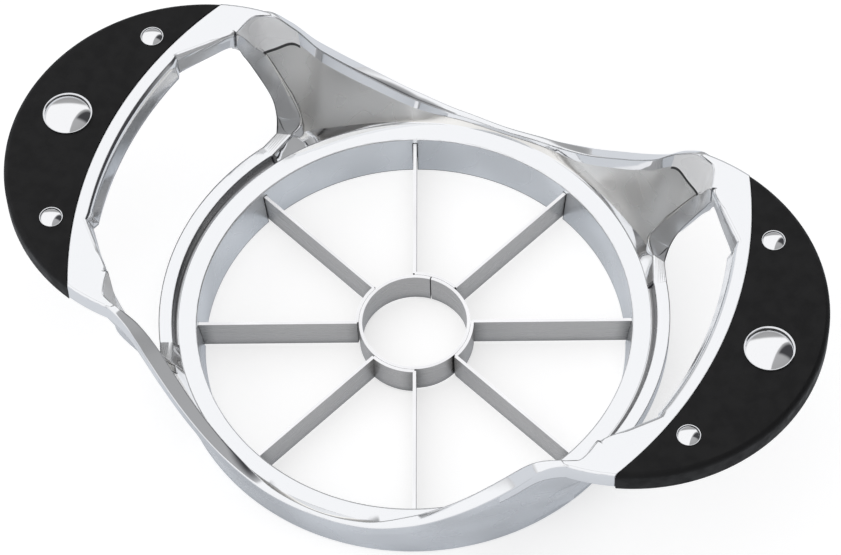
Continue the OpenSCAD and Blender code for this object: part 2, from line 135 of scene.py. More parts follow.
# The flared skirt's stations over a quarter turn. Each row is angle, reach and
# height of the rim, rim width, set-back and drop of the web under the rim, the
# web's bulge in reach and height, and how far the edge deepens to the plate's
SKIRT_SHARES = np.array([
    (31.0, 1.147, 1.000, 0.95, 0.25, 0.12, 0.56, 0.26, 0.85),
    (33.5, 1.147, 1.000, 0.70, 0.70, 0.56, 0.56, 0.26, 0.85),
    (36.0, 1.147, 1.000, 0.52, 0.95, 1.00, 0.56, 0.26, 0.85),
    (39.0, 1.000, 0.998, 0.55, 0.85, 0.82, 0.54, 0.27, 0.80),
    (42.5, 0.784, 0.908, 0.80, 0.25, 0.44, 0.48, 0.28, 0.45),
    (47.3, 0.586, 0.700, 1.00, 0.17, 0.38, 0.42, 0.26, 0.10),
    (57.7, 0.336, 0.393, 0.90, 0.15, 0.34, 0.38, 0.20, 0.00),
    (68.3, 0.160, 0.168, 0.76, 0.12, 0.28, 0.40, 0.20, 0.00),
    (79.0, 0.052, 0.040, 0.45, 0.10, 0.14, 0.50, 0.50, 0.00),
    (90.0, 0.000, 0.000, 0.36, 0.08, 0.10, 0.50, 0.50, 0.00)])
RIM_REACH, RIM_HEIGHT, RIM_WIDTH, WEB_BACK, WEB_DROP, BULGE_R, BULGE_Z, EDGE_DEPTH = range(1, 9)

# Where the band beside an opening ends and the skirt starts, the corner and the
# bulge of the band's cove, and the last step of a web's curve before its corner
BAND_ANGLE = 30
SKIRT_ANGLE = SKIRT_SHARES[0, 0]
COVE_CORNER = (0.8, 0.6)
COVE_BULGE = (0.6, 0.2)
CREASE_SHARE = 0.02

# Lines round a finger opening beyond the band: the ridge over the web and the
# lower lip. Each row is the place from the band's corner to the bar, the
# sideways place, and the height from the band to the handle plate
RIDGE_SHARES = [
    (-0.085, 0.940, 0.055), (-0.150, 0.995, 0.178), (0.060, 1.050, 0.435), (0.281, 1.078, 0.694),
    (0.384, 1.018, 0.850), (0.488, 0.952, 1.000), (0.715, 0.808, 1.000), (0.941, 0.664, 1.000)]
LIP_SHARES = [
    (0.065, 0.905, 0.065), (0.090, 0.955, 0.200), (0.165, 0.990, 0.350), (0.330, 0.985, 0.600),
    (0.425, 0.970, 0.745), (0.512, 0.938, 0.870), (0.715, 0.785, 0.870), (0.905, 0.638, 0.870)]
BAR_LIP_SHARE = 0.870

# How far the wall under the lip draws back, and how steeply that sets in
RELIEF_SHARE = 0.65
RELIEF_RISE = 3

# The raised strip beside a finger opening: its width, then in that width where
# its top and its foot lie and how far the top falls
RIDGE_WIDTH = 1.0
RIDGE_TOP_SHARE = 0.3
RIDGE_FOOT_SHARE = 1.3
RIDGE_FALL_SHARE = 0.4

# Steps along the curves. The skirt's angles are from, to and apart. The raised
# strip runs over the first stretches of its line, sinks into the plate at one end
# and fades into the band at the other
BAND_STEPS = 30
FINE_ANGLES = (31, 46, 0.5)
COARSE_ANGLES = (46, 90, 1.0)
STRETCH_STEPS = [12, 12, 9, 9, 9, 6, 6]
RIDGE_STRETCHES = 5
SINK_STEPS = 18
FADE_STEPS = 24
BAR_STEPS = 15
FLARE_STEPS = 6
ROUND_STEPS = 4
WEB_STEPS = 16
ARC_STEPS = 5
LATHE_STEPS = 480
DOME_STEPS = 96
CROWN_STEPS = 24
DOME_RIM_STEPS = 6
HOLE_STEPS = 48

# Where the casting's finishes end: the web's foot as a share of its curve, the
# height of the crease's painted shade, the ramp's angles, which bound that shade
# and the ramp's painted reflection, and the angle up to which the rail's outer
# edge is bright
WEB_FOOT_SHARE = 3 / 16
CREASE_SHADE_HEIGHT = 0.8
RAMP_FROM = 35.5
RAMP_TO = 43.0
EDGE_TO = 50.0

# Creases: the angle over which an edge is sharp, how far it softens, the limits
# between which its painted dark reflection line fades with the bend, and the
# painted line's colour
SHARP_ANGLE = 18.0
EDGE_SOFTNESS = 0.38
PAINTED_LINE_LIMITS = (0.935, 0.996)
PAINTED_LINE_COLOUR = (0.025, 0.025, 0.03)

# Finishes: the middle of a noise's range, the darkest and lightest share of a
# cloudy colour, the reach of the painted shade in the corners between the blades,
# and the samples of each node that finds edges and corners
NOISE_LIMITS = (0.3, 0.7)
CLOUD_SHARES = (0.86, 1.14)
PAINTED_SHADE_REACH = 3.0
NODE_SAMPLES = 8

# The casting's finishes in the order of its slots: the bright plate, then the
# satin ones with name, colour, metallic, and whether their creases get painted
# dark reflection lines. The crease and groove finishes are painted shade, and the
# ramp's near white is a painted reflection
CAST, WEB, WALL, CREASE_PAINTED_SHADE, GROOVE_PAINTED_SHADE, FLARE, RAMP_PAINTED_WHITE, SKIRT = range(8)
SATIN_FINISHES = [
    ("web_chrome", (0.85, 0.84, 0.815), 1, True),
    ("wall_chrome", (0.79, 0.81, 0.83), 1, True),
    # Painted shade along the web's top corner, at the ramp's foot
    ("crease_painted_shade", (0.10, 0.10, 0.10), 1, True),
    # Painted shade in the band's cove
    ("groove_painted_shade", (0.24, 0.24, 0.245), 1, True),
    ("flare_chrome", (0.74, 0.745, 0.75), 1, True),
    # Painted reflection: the chrome ramp is painted near white and made almost not metallic
    ("ramp_painted_reflection", (0.96, 0.965, 0.97), 0.1, True),
    ("skirt_chrome", (0.69, 0.705, 0.725), 1, False)]

# Floor, and what it shows to the camera and to glossy metal
FLOOR_SIZE = 6000.0
FLOOR_DEPTH = 0.1
FLOOR_COLOUR = (0.55, 0.55, 0.55)
FLOOR_GLOW = (0.62, 0.62, 0.62)
FLOOR_GLOSS = (0.27, 0.29, 0.32)

# Studio: the room's light from the horizon to the zenith (height, grey, blue),
# then the limits of the softbox overhead and of the dark side, in directions of
# length 1: to the right, away from the camera, and up
ROOM_STOPS = [(0.0, 0.62, 0.63), (0.06, 0.44, 0.4444), (0.14, 0.36, 0.3636), (0.30, 0.40, 0.404),
              (1.0, 0.46, 0.47)]
SOFTBOX_SIDE = 0.42
SOFTBOX_END = 0.80
SOFTBOX_BLUR = 0.08
SOFTBOX_FOOT = (-0.05, 0.12)
SOFTBOX_LIGHT = (1.05, 1.05, 1.06)
DARK_SIDE = (0.44, 0.58)
DARK_NEAR = (-0.25, 0.0)
DARK_LIGHT = (0.06, 0.06, 0.065)
WHITE = (1.0, 1.0, 1.0)
BLACK = (0.0, 0.0, 0.0)


def lerp(a, b, t):
    """The value a share t of the way from a to b."""
    return a + (b - a) * t


def bent(a, b, c, t):
    """The value at t of the curve from a to c that bends towards b."""
    return (1 - t) ** 2 * a + 2 * t * (1 - t) * b + t * t * c


def polar(radius, degrees):
    """A point in the plane, from its radius and angle."""
    angle = math.radians(degrees)
    return np.array((radius * math.cos(angle), radius * math.sin(angle)))


def arc(centre, radius, start, stop, steps=ARC_STEPS):
    """Points of a circular arc between two angles in degrees."""
    return [tuple(np.array(centre) + polar(radius, lerp(start, stop, i / steps)))
            for i in range(steps + 1)]


def station(angle, column):
    """Smooth value of a column of the skirt's table at an angle."""
    angles, values = SKIRT_SHARES[:, 0], SKIRT_SHARES[:, column]
    last = len(angles) - 1
    i = min(int(np.searchsorted(angles, angle, side="right")) - 1, last - 1)

    def slope(k):
        if k in (0, last):
            return 0.0
        before, after = np.diff(values[k - 1:k + 2]) / np.diff(angles[k - 1:k + 2])
        return 2 * before * after / (before + after) if before * after > 0 else 0.0

    width = angles[i + 1] - angles[i]
    u = (angle - angles[i]) / width
    return (values[i] * (1 + 2 * u) * (1 - u) ** 2 + values[i + 1] * (3 - 2 * u) * u * u
            + slope(i) * width * u * (1 - u) ** 2 - slope(i + 1) * width * (1 - u) * u * u)


def spline(points, steps):
    """Points of a smooth curve through a list of points, steps[i] to stretch i."""
    points = np.array(points, float)
    last = len(points) - 1
    made = []
    for i in range(last):
        a, b, c, d = points[max(i - 1, 0)], points[i], points[i + 1], points[min(i + 2, last)]
        for u in np.arange(steps[i]) / steps[i]:
            made.append(b + (c - a) * u / 2 + (2 * a - 5 * b + 4 * c - d) * u * u / 2
                        + (3 * b - a - 3 * c + d) * u ** 3 / 2)
    return made + [points[last]]


def link(name, points, faces):
    """A new closed object from points in millimetres, its faces turned outwards."""
    mesh = bpy.data.meshes.new(name)
    mesh.from_pydata([tuple(p) for p in points], [], faces)
    build = bmesh.new()
    build.from_mesh(mesh)
    bmesh.ops.scale(build, vec=(MM, MM, MM), verts=build.verts)
    bmesh.ops.triangulate(build, faces=[f for f in build.faces if len(f.verts) == 4])
    if build.calc_volume(signed=True) < 0:
        bmesh.ops.reverse_faces(build, faces=build.faces)
    build.to_mesh(mesh)
    build.free()
    piece = bpy.data.objects.new(name, mesh)
    bpy.context.scene.collection.objects.link(piece)
    return piece


def loft(name, rows, closed=False):
    """One solid through sections with equal, even numbers of points."""
    n, m = len(rows[0]), len(rows)
    faces = [(i * n + j, (i + 1) % m * n + j, (i + 1) % m * n + (j + 1) % n, i * n + (j + 1) % n)
             for i in range(m if closed else m - 1) for j in range(n)]
    if not closed:
        ladder = [face for j in range(n // 2 - 1)
                  for face in ((j, j + 1, n - 2 - j), (j, n - 2 - j, n - 1 - j))]
        faces += ladder + [tuple((m - 1) * n + k for k in face[::-1]) for face in ladder]
    return link(name, np.concatenate(rows), faces)


def lathe(name, profile, steps=LATHE_STEPS):
    """Solid of revolution about Z of an outline given as radius and height."""
    points, rings = [], []
    for radius, height in profile:
        if radius < WELD / 10:
            rings.append([len(points)] * steps)
            points.append((0, 0, height))
        else:
            rings.append(range(len(points), len(points) + steps))
            points += [(*polar(radius, 360 * i / steps), height) for i in range(steps)]
    faces = []
    for low, high in zip(rings, rings[1:] + rings[:1]):
        for i in range(steps):
            k = (i + 1) % steps
            face = tuple(dict.fromkeys((low[i], low[k], high[k], high[i])))
            if len(face) > 2:
                faces.append(face)
    return link(name, points, faces)


def prism(name, outline, low, high):
    """An upright prism over an outline."""
    n = len(outline)
    points = [(x, y, z) for z in (low, high) for x, y in outline]
    sides = [(i, (i + 1) % n, n + (i + 1) % n, n + i) for i in range(n)]
    return link(name, points, sides + [tuple(range(n))[::-1], tuple(range(n, 2 * n))])


def place(piece, x=0.0, y=0.0, z=0.0, turn=0.0):
    """The piece moved in its mesh, then turned about Z in degrees."""
    spin = Matrix.Rotation(math.radians(turn), 4, "Z")
    piece.data.transform(spin @ Matrix.Translation(Vector((x, y, z)) * MM))
    return piece


def cylinder(name, radius, low, high, x, y=0.0, steps=LATHE_STEPS):
    """An upright cylinder about a place in plan."""
    profile = [(0, low), (radius, low), (radius, high), (0, high)]
    return place(lathe(name, profile, steps), x=x, y=y)


def rounded_disc(name, radius, low, high, edge):
    """A flat disc with both of its edges rounded, about the grip's outer centre."""
    profile = ([(0, low)] + arc((radius - edge, low + edge), edge, -90, 0)
               + arc((radius - edge, high - edge), edge, 0, 90) + [(0, high)])
    return place(lathe(name, profile), x=OUTER_X)


def combine(piece, tools, operation):
    """The piece after one boolean with each tool in turn. The tools are used up."""
    for tool in tools:
        step = piece.modifiers.new("step", "BOOLEAN")
        step.object, step.operation, step.solver = tool, operation, "MANIFOLD"
    shape = piece.evaluated_get(bpy.context.evaluated_depsgraph_get())
    mesh = bpy.data.meshes.new_from_object(shape)
    piece.modifiers.clear()
    piece.data = mesh
    for tool in tools:
        bpy.data.objects.remove(tool)
    return piece


def joined(name, made):
    """Several objects as one piece."""
    build = bmesh.new()
    for piece in made:
        build.from_mesh(piece.data)
    mesh = bpy.data.meshes.new(name)
    build.to_mesh(mesh)
    build.free()
    for piece in made:
        bpy.data.objects.remove(piece)
    whole = bpy.data.objects.new(name, mesh)
    bpy.context.scene.collection.objects.link(whole)
    return whole


def both_ends(make):
    """What make() builds, once for each end of the object."""
    return [place(piece, turn=turn) for turn in (0, 180) for piece in make()]


def rim(angle):
    """Outer radius, height and inner radius of the rim at an angle from the X axis."""
    if angle < SKIRT_ANGLE:
        return BAND_R + 2 * RIM_ROUND, BAND_Z + 2 * RIM_ROUND, CREST_R + RIM_ROUND / 2
    out_r = RAIL_MID_R + (ARM_R - RAIL_MID_R) * station(angle, RIM_REACH)
    height = RAIL_MID_Z + (HANDLE_HEIGHT - RAIL_MID_Z) * station(angle, RIM_HEIGHT)
    return out_r, height, out_r - RAIL_WIDTH * station(angle, RIM_WIDTH)


def web_corner(angle):
    """The web's top corner and the point it bulges towards, as radius and height."""
    if angle < SKIRT_ANGLE:
        corner = lerp(FACE_R, CREST_R, COVE_CORNER[0]), lerp(RING_HEIGHT, BAND_Z, COVE_CORNER[1])
        shares = COVE_BULGE
    else:
        _, rim_z, rim_r = rim(angle)
        corner = (rim_r - RAMP_RUN * station(angle, WEB_BACK),
                  rim_z - RAMP_DROP * station(angle, WEB_DROP))
        shares = station(angle, BULGE_R), station(angle, BULGE_Z)
    bulge = lerp(FACE_R, corner[0], shares[0]), lerp(RING_HEIGHT, corner[1], shares[1])
    return np.array(corner), np.array(bulge)


def edge_depth(angle):
    """Depth of the rail's outer edge, which deepens towards the plate's."""
    share = 0 if angle < SKIRT_ANGLE else station(angle, EDGE_DEPTH)
    return lerp(RAIL_EDGE, PLATE_THICKNESS, share)


def skirt_section(angle):
    """Closed section of the ring and its skirt, as radius and height."""
    out_r, rim_z, rim_r = rim(angle)
    web, bulge = web_corner(angle)
    edge_z = rim_z - edge_depth(angle)
    lip = FOOT_ROUND / 2
    face = np.array((FACE_R, RING_HEIGHT + FACE_TILT))
    shares = [*np.linspace(0, 1, WEB_STEPS + 1)[:-1], 1 - CREASE_SHARE, 1]
    wall = [(lerp(out_r - RIM_ROUND, FOOT_R, t), lerp(edge_z - RIM_ROUND, 2 * FOOT_ROUND, t))
            for t in np.linspace(0, 1, ARC_STEPS + 1)]
    return ([(WALL_FOOT_R, 0)]
            + arc((RING_R + lip, RING_HEIGHT - lip), lip, 180, 90)
            + [(RING_R + FACE_WIDTH / 2, RING_HEIGHT + FACE_TILT / 2)]
            + [tuple(bent(face, bulge, web, t)) for t in shares]
            + arc((rim_r + RIM_ROUND, rim_z - RIM_ROUND), RIM_ROUND, 180, 90)
            + arc((out_r - RIM_ROUND, rim_z - RIM_ROUND), RIM_ROUND, 90, 0)
            + [(out_r, edge_z)]
            + wall
            + arc((FOOT_R - FOOT_ROUND, FOOT_ROUND), FOOT_ROUND, 0, -90))


def skirt():
    """Ring, band, rails and webs as one loft round the Z axis."""
    quarter = [*np.linspace(0, BAND_ANGLE, BAND_STEPS + 1),
               *np.arange(*FINE_ANGLES), *np.arange(*COARSE_ANGLES)]
    half = quarter + [90.0] + [180 - a for a in quarter[:0:-1]]
    rows = []
    for turn in half + [180 + a for a in half]:
        away = abs(math.degrees(math.asin(math.sin(math.radians(turn)))))
        rows.append([(*polar(radius, turn), height) for radius, height in skirt_section(away)])
    return loft("skirt", rows, closed=True)


def strip_line(band_at, band_at_z, bar_at, shares, bar_height_share):
    """Half of a line round a finger opening, from the band's middle to the bar's."""
    ends = [(lerp(CORNER_X, BAR_X, along), OPENING_HALF * aside, lerp(BAND_Z, HANDLE_HEIGHT, up))
            for along, aside, up in shares]
    radius = bar_at - INNER_X
    fan = math.degrees(math.asin(ends[-1][1] / radius))
    bar_z = lerp(BAND_Z, HANDLE_HEIGHT, bar_height_share)
    band = [(*polar(band_at, BAND_ANGLE * i / BAND_STEPS), band_at_z)
            for i in range(BAND_STEPS + 1)]
    bar = [(*(polar(radius, fan * i / BAR_STEPS) + (INNER_X, 0)), bar_z)
           for i in range(BAR_STEPS - 1, -1, -1)]
    return np.array(band + [tuple(p) for p in spline(ends, STRETCH_STEPS)] + bar)


def sideways(along):
    """Directions in plan at right angles to a list of directions."""
    along = np.atleast_2d(along)
    length = np.hypot(along[:, 0], along[:, 1])
    return np.column_stack((-along[:, 1], along[:, 0])) / length[:, None]


def outwards(line):
    """Directions in plan at right angles to a line, one for each of its points."""
    last = len(line) - 1
    return sideways([line[min(i + 1, last)] - line[max(i - 1, 0)] for i in range(last + 1)])


def opening_lines():
    """The ridge and the lip round a finger opening, and where the wall under the lip ends."""
    ridge = strip_line(CREST_R, BAND_Z, BAR_X + BAR_BEVEL, RIDGE_SHARES, 1)
    lip = strip_line(BAND_R, BAND_Z + RIM_ROUND, BAR_X, LIP_SHARES, BAR_LIP_SHARE)
    band = BAND_STEPS + 1
    share = np.clip((np.arange(len(lip)) - band) / (len(lip) - band - BAR_STEPS), 0, 1)
    relief = np.minimum(1, RELIEF_RISE * np.sin(math.pi * share))
    back = RELIEF_SHARE * PLATE_THICKNESS * relief[:, None] * outwards(lip)
    return ridge, lip, np.column_stack((lip[:, :2] + back, lip[:, 2] - PLATE_THICKNESS))


def finger_cut(lines):
    """What a finger opening takes away, from one end of the crescent to the other."""
    ridge, lip, under = lines
    out = np.column_stack((outwards(ridge), np.zeros(len(ridge))))

    def side(i):
        edge = PLATE_ROUND if ridge[i, 2] > HANDLE_HEIGHT - WELD else WELD / 2
        start = lerp(ridge[i], lip[i], edge / np.linalg.norm(ridge[i] - lip[i]))
        stop = ridge[i] + edge * out[i]
        flare = [lerp(lip[i], start, j / FLARE_STEPS) for j in range(FLARE_STEPS)]
        arched = [bent(start, ridge[i], stop, t) for t in np.linspace(0, 1, ROUND_STEPS + 1)]
        below, above = (*under[i, :2], -OVERRUN), (*stop[:2], HANDLE_HEIGHT + OVERRUN)
        return [below, under[i], *flare, *arched, above]

    half = len(lip) // 2
    rows = [np.array(side(half + i) + side(half - 1 - i)[::-1]) for i in range(half)]
    return loft("finger_cut", rows + [row * (1, -1, 1) for row in rows[-2::-1]])


def opening_ridge(lines, hand):
    """The raised strip beside a finger opening, from the band up to the plate."""
    ridge, lip, _ = lines
    first = BAND_STEPS
    last = first + 1 + sum(STRETCH_STEPS[:RIDGE_STRETCHES])
    rows = []
    for i in range(last, first - 1, -1):
        crest = ridge[i]
        out = sideways(ridge[i + 2] - ridge[i - 2])[0]
        sink = min(1, (last - i + 1) / SINK_STEPS)
        fade = min(sink, (i - first + 2) / FADE_STEPS)
        reach = out * RIDGE_WIDTH * fade
        inner = lip[i, :2] - out * RIM_ROUND
        low = crest[2] - PLATE_THICKNESS
        top = crest[2] + (-WELD if sink < 1 else WELD)
        rows.append(np.array([
            (*crest[:2], low), (*inner, low), (*inner, crest[2] + RIDGE_WIDTH * sink),
            (*(crest[:2] + RIDGE_TOP_SHARE * reach), top),
            (*(crest[:2] + reach), top - RIDGE_FALL_SHARE * RIDGE_WIDTH * fade),
            (*(crest[:2] + RIDGE_FOOT_SHARE * reach), low)]) * (1, hand, 1))
    return loft("ridge", rows)


def bar_circle(gap, low, high):
    """The round block inside the grip's inner arc."""
    return cylinder("bar_circle", GRIP_INNER_R + gap, low, high, INNER_X, steps=2 * LATHE_STEPS)


def handle_plate():
    """Bar and corners of one handle, inside the grip's inner arc."""
    edge = [tuple(polar(rim(angle)[2] + RIM_ROUND, angle)) for angle in SKIRT_SHARES[3::-1, 0]]
    far = 2 * (OUTER_X + GRIP_OUTER_R)
    half = [tuple(polar(far, ARM_ANGLE)), *edge, (edge[-1][0], PLATE_END_SHARE * edge[-1][1])]
    outline = (half + [(BAND_R + FINGER_GAP / 2, 0)] + [(x, -y) for x, y in half[::-1]]
               + [(far, -far), (far, far)])
    low, above = HANDLE_HEIGHT - PLATE_THICKNESS, HANDLE_HEIGHT + OVERRUN
    plate = rounded_disc("plate", GRIP_OUTER_R, low, HANDLE_HEIGHT, 2 * RIM_ROUND)
    block = prism("block", outline, low - OVERRUN, above)
    return combine(plate, [block, bar_circle(0, low - OVERRUN, above)], "INTERSECT")


def tang():
    """The thin plate between the two grip scales."""
    disc = cylinder("tang", GRIP_OUTER_R - TANG_INSET, TANG_Z, TANG_Z + TANG_THICKNESS, OUTER_X)
    return combine(disc, [bar_circle(-BAR_BEVEL, TANG_Z - OVERRUN, GRIP_TOP)], "DIFFERENCE")


def rivet_holes():
    """Pins through one handle where its rivets go."""
    places = [(LARGE_RIVET, LARGE_X, 0), (SMALL_RIVET, SMALL_X, SMALL_SIDE),
              (SMALL_RIVET, SMALL_X, -SMALL_SIDE)]
    return [cylinder("hole", rivet["shank"] / 2 + RIVET_CLEARANCE, GRIP_Z - OVERRUN,
                     GRIP_TOP + OVERRUN, x, y, HOLE_STEPS) for rivet, x, y in places]


def blade_pockets():
    """Blocks where the blade ends stand in the ring's wall, open at the foot."""
    near, far = WALL_FOOT_R - OVERRUN, RING_R + POCKET_DEPTH
    wide = POCKET_WIDTH / 2
    outline = [(near, -wide), (far, -wide), (far, wide), (near, wide)]
    return [place(prism("pocket", outline, -OVERRUN, BLADE_TOP + POCKET_CLEARANCE),
                  turn=(i + 0.5) * 360 / BLADE_COUNT) for i in range(BLADE_COUNT)]


def casting():
    """The whole casting, as its solid is but with finer steps."""
    lines = opening_lines()

    def added():
        return [handle_plate(), tang(), opening_ridge(lines, 1), opening_ridge(lines, -1)]

    def removed():
        return [finger_cut(lines), *rivet_holes()]

    body = combine(skirt(), both_ends(added), "UNION")
    body = combine(body, both_ends(removed) + blade_pockets(), "DIFFERENCE")
    body.name = "frame_casting"
    return body


def inside(outline, x, y):
    """Whether a point of the first quadrant lies inside a finger opening's outline."""
    crossed = False
    for (ax, ay), (bx, by) in zip(outline, outline[1:]):
        if (ay > y) != (by > y) and x < ax + (bx - ax) * (y - ay) / (by - ay):
            crossed = not crossed
    return crossed


def finish_parts(body):
    """Gives each face of the casting the slot of its finish. The rest keep CAST."""
    ridge, lip, _ = opening_lines()
    outline = [(x, y) for x, y, _ in ridge]
    # The line on which the bar's bevel meets the flare
    (lip_x, lip_y, _), (ridge_x, ridge_y, _) = lip[-BAR_STEPS - 1], ridge[-BAR_STEPS - 1]
    for face in body.data.polygons:
        x, y, z = face.center / MM
        radius = math.hypot(x, y)
        away = abs(math.degrees(math.asin(y / radius)))
        inward = face.normal.x * x + face.normal.y * y < 0
        if inside(outline, abs(x), abs(y)):
            if face.normal.z < WELD and z < HANDLE_HEIGHT - PLATE_ROUND:
                face.material_index = SKIRT
            elif BAND_Z + RIDGE_WIDTH < z < HANDLE_HEIGHT - PLATE_ROUND:
                on_bar = ((ridge_x - lip_x) * (abs(y) - lip_y)
                          < (ridge_y - lip_y) * (abs(x) - lip_x))
                face.material_index = CAST if on_bar else FLARE
        elif not inward:
            depth = RIM_ROUND if away > EDGE_TO else edge_depth(away)
            if radius < GRIP_X and z < rim(away)[1] - depth:
                face.material_index = SKIRT
        elif radius < RING_R + RIM_ROUND and z < RING_HEIGHT - FOOT_ROUND:
            face.material_index = WALL
        elif away < SKIRT_ANGLE and FACE_R + WELD < radius < CREST_R and z > RING_HEIGHT:
            # The band's cove is painted dark as shade
            face.material_index = GROOVE_PAINTED_SHADE
        elif away > SKIRT_ANGLE and radius > FACE_R and z > RING_HEIGHT:
            (edge_r, edge_z), (bulge_r, _) = web_corner(away)
            if radius < edge_r and z < edge_z:
                if edge_z - z < CREASE_SHADE_HEIGHT and RAMP_FROM < away < RAMP_TO:
                    # Painted shade: a thin dark strip along the web's top corner at the ramp's foot
                    face.material_index = CREASE_PAINTED_SHADE
                elif radius > bent(FACE_R, bulge_r, edge_r, WEB_FOOT_SHARE):
                    face.material_index = WEB
            elif away < RAMP_TO and radius > edge_r - WELD and z < rim(away)[1] - RIM_ROUND:
                # The ramp takes its painted white reflection
                face.material_index = RAMP_PAINTED_WHITE


def rivet_heads(name, rivet, places):
    """Domed heads with a rolled rim, each with the pin that hangs from it."""
    half, dome = rivet["head"] / 2, rivet["dome"]
    edge = dome * DOME_RIM_SHARE
    ball = (half ** 2 + dome ** 2) / (2 * dome)
    fan = math.degrees(math.asin(half / ball))
    crown = [tuple(polar(ball, 90 - fan * i / CROWN_STEPS) + (0, dome - ball))
             for i in range(1, CROWN_STEPS)]
    rolled = arc((half - edge, edge * DOME_RIM_LIFT), edge, *DOME_RIM_ARC, DOME_RIM_STEPS)
    pin = rivet["shank"] / 2 - SHANK_WALL - RIVET_CLEARANCE
    profile = ([(0, dome)] + crown + rolled
               + [(half - 2 * edge, 0), (pin, 0), (pin, GRIP_Z - GRIP_TOP), (0, GRIP_Z - GRIP_TOP)])
    return joined(name, [place(lathe(name, profile, DOME_STEPS), x=x, y=y, z=GRIP_TOP)
                         for x, y in places])


def grip_upper():
    """Upper grip scale with a rounded outer edge, hollowed over the tang."""
    disc = rounded_disc("grip", GRIP_OUTER_R, TANG_Z - 2 * GRIP_ROUND, GRIP_TOP, GRIP_ROUND)
    side = 2 * (OUTER_X + GRIP_OUTER_R)
    below = prism("below", [(0, -side), (side, -side), (side, side), (0, side)], -side, TANG_Z)
    seat = GRIP_OUTER_R - TANG_INSET + GRIP_CLEARANCE
    hollow = cylinder("hollow", seat, TANG_Z - OVERRUN, TANG_Z + TANG_THICKNESS, OUTER_X)
    middle = bar_circle(GRIP_CLEARANCE, 0, HANDLE_HEIGHT + OVERRUN)
    return combine(disc, [middle, below, hollow, *rivet_holes()], "DIFFERENCE")


def wear(piece, materials, node):
    """The piece takes its materials, its body and the node it stands for."""
    piece.data.materials.clear()
    for material in materials:
        piece.data.materials.append(material)
    piece.data.shade_smooth()
    piece.data.set_sharp_from_angle(angle=math.radians(SHARP_ANGLE))
    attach(piece, "root")
    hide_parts(node)


def shader(name, colour, metallic, roughness):
    """A new material, its node tree and its Principled shader."""
    material = bpy.data.materials.new(name)
    material.use_nodes = True
    shine = material.node_tree.nodes["Principled BSDF"]
    shine.inputs["Base Color"].default_value = (*colour, 1)
    shine.inputs["Metallic"].default_value = metallic
    shine.inputs["Roughness"].default_value = roughness
    return material, material.node_tree, shine


def feed(tree, value, socket):
    """Links a node's output to the socket, or sets it to a number or a colour."""
    if isinstance(value, bpy.types.NodeSocket):
        tree.links.new(value, socket)
    else:
        socket.default_value = (*value, 1) if isinstance(value, tuple) else value


def noise(tree, size, detail, stretch=(1, 1, 1)):
    """A noise whose features are about size millimetres across."""
    where = tree.nodes.new("ShaderNodeTexCoord")
    scale = tree.nodes.new("ShaderNodeMapping")
    scale.inputs["Scale"].default_value = [k / (size * MM) for k in stretch]
    grain = tree.nodes.new("ShaderNodeTexNoise")
    grain.inputs["Scale"].default_value = 1
    grain.inputs["Detail"].default_value = detail
    tree.links.new(where.outputs["Object"], scale.inputs["Vector"])
    tree.links.new(scale.outputs["Vector"], grain.inputs["Vector"])
    return grain.outputs["Fac"]


def mixed(tree, factor, low, high):
    """Colour between two colours, each one a triple or another node's output."""
    mix = tree.nodes.new("ShaderNodeMix")
    mix.data_type = "RGBA"
    tree.links.new(factor, mix.inputs["Factor"])
    feed(tree, low, mix.inputs["A"])
    feed(tree, high, mix.inputs["B"])
    return mix.outputs["Result"]


def spread(tree, value, low, high, limits=NOISE_LIMITS, curve="SMOOTHSTEP"):
    """The value spread from low, at the first limit, to high, at the second."""
    step = tree.nodes.new("ShaderNodeMapRange")
    step.interpolation_type = curve
    step.inputs["From Min"].default_value, step.inputs["From Max"].default_value = limits
    step.inputs["To Min"].default_value = low
    feed(tree, high, step.inputs["To Max"])
    tree.links.new(value, step.inputs["Value"])
    return step.outputs["Result"]


def dot(tree, vector, other):
    """The dot product of a vector with a node's output or a plain direction."""
    product = tree.nodes.new("ShaderNodeVectorMath")
    product.operation = "DOT_PRODUCT"
    tree.links.new(vector, product.inputs[0])
    feed(tree, other, product.inputs[1])
    return product.outputs["Value"]


def parts_of(tree, vector):
    """The X, Y and Z of a vector."""
    split = tree.nodes.new("ShaderNodeSeparateXYZ")
    tree.links.new(vector, split.inputs["Vector"])
    return split.outputs


def bumped(tree, height, depth, normal=None):
    """A bump of a depth in millimetres, on top of another normal."""
    bump = tree.nodes.new("ShaderNodeBump")
    bump.inputs["Strength"].default_value = 1
    bump.inputs["Distance"].default_value = depth * MM
    tree.links.new(height, bump.inputs["Height"])
    if normal:
        tree.links.new(normal, bump.inputs["Normal"])
    return bump.outputs["Normal"]


def textured(tree, shine, waves, depth, haze, limits, normal=None):
    """A bump of a depth from one noise, and a roughness between limits from another.

    Each noise is given by its size in millimetres and its detail.
    """
    tree.links.new(bumped(tree, noise(tree, *waves), depth, normal), shine.inputs["Normal"])
    tree.links.new(spread(tree, noise(tree, *haze), *limits), shine.inputs["Roughness"])


def true_normal(tree):
    """The surface's own normal."""
    return tree.nodes.new("ShaderNodeNewGeometry").outputs["Normal"]


def with_painted_reflection_lines(tree, shine, colour):
    """The colour with painted dark reflection lines along the creases. Returns the softened normal.
    """
    edge = tree.nodes.new("ShaderNodeBevel")
    edge.samples = NODE_SAMPLES
    edge.inputs["Radius"].default_value = EDGE_SOFTNESS * MM
    soft = edge.outputs["Normal"]
    # Painted reflection: the colour turns to a dark line where the softened normal bends away from
    # the surface's own
    line = spread(tree, dot(tree, soft, true_normal(tree)), 1, 0, PAINTED_LINE_LIMITS, "LINEAR")
    tree.links.new(mixed(tree, line, colour, PAINTED_LINE_COLOUR), shine.inputs["Base Color"])
    return soft


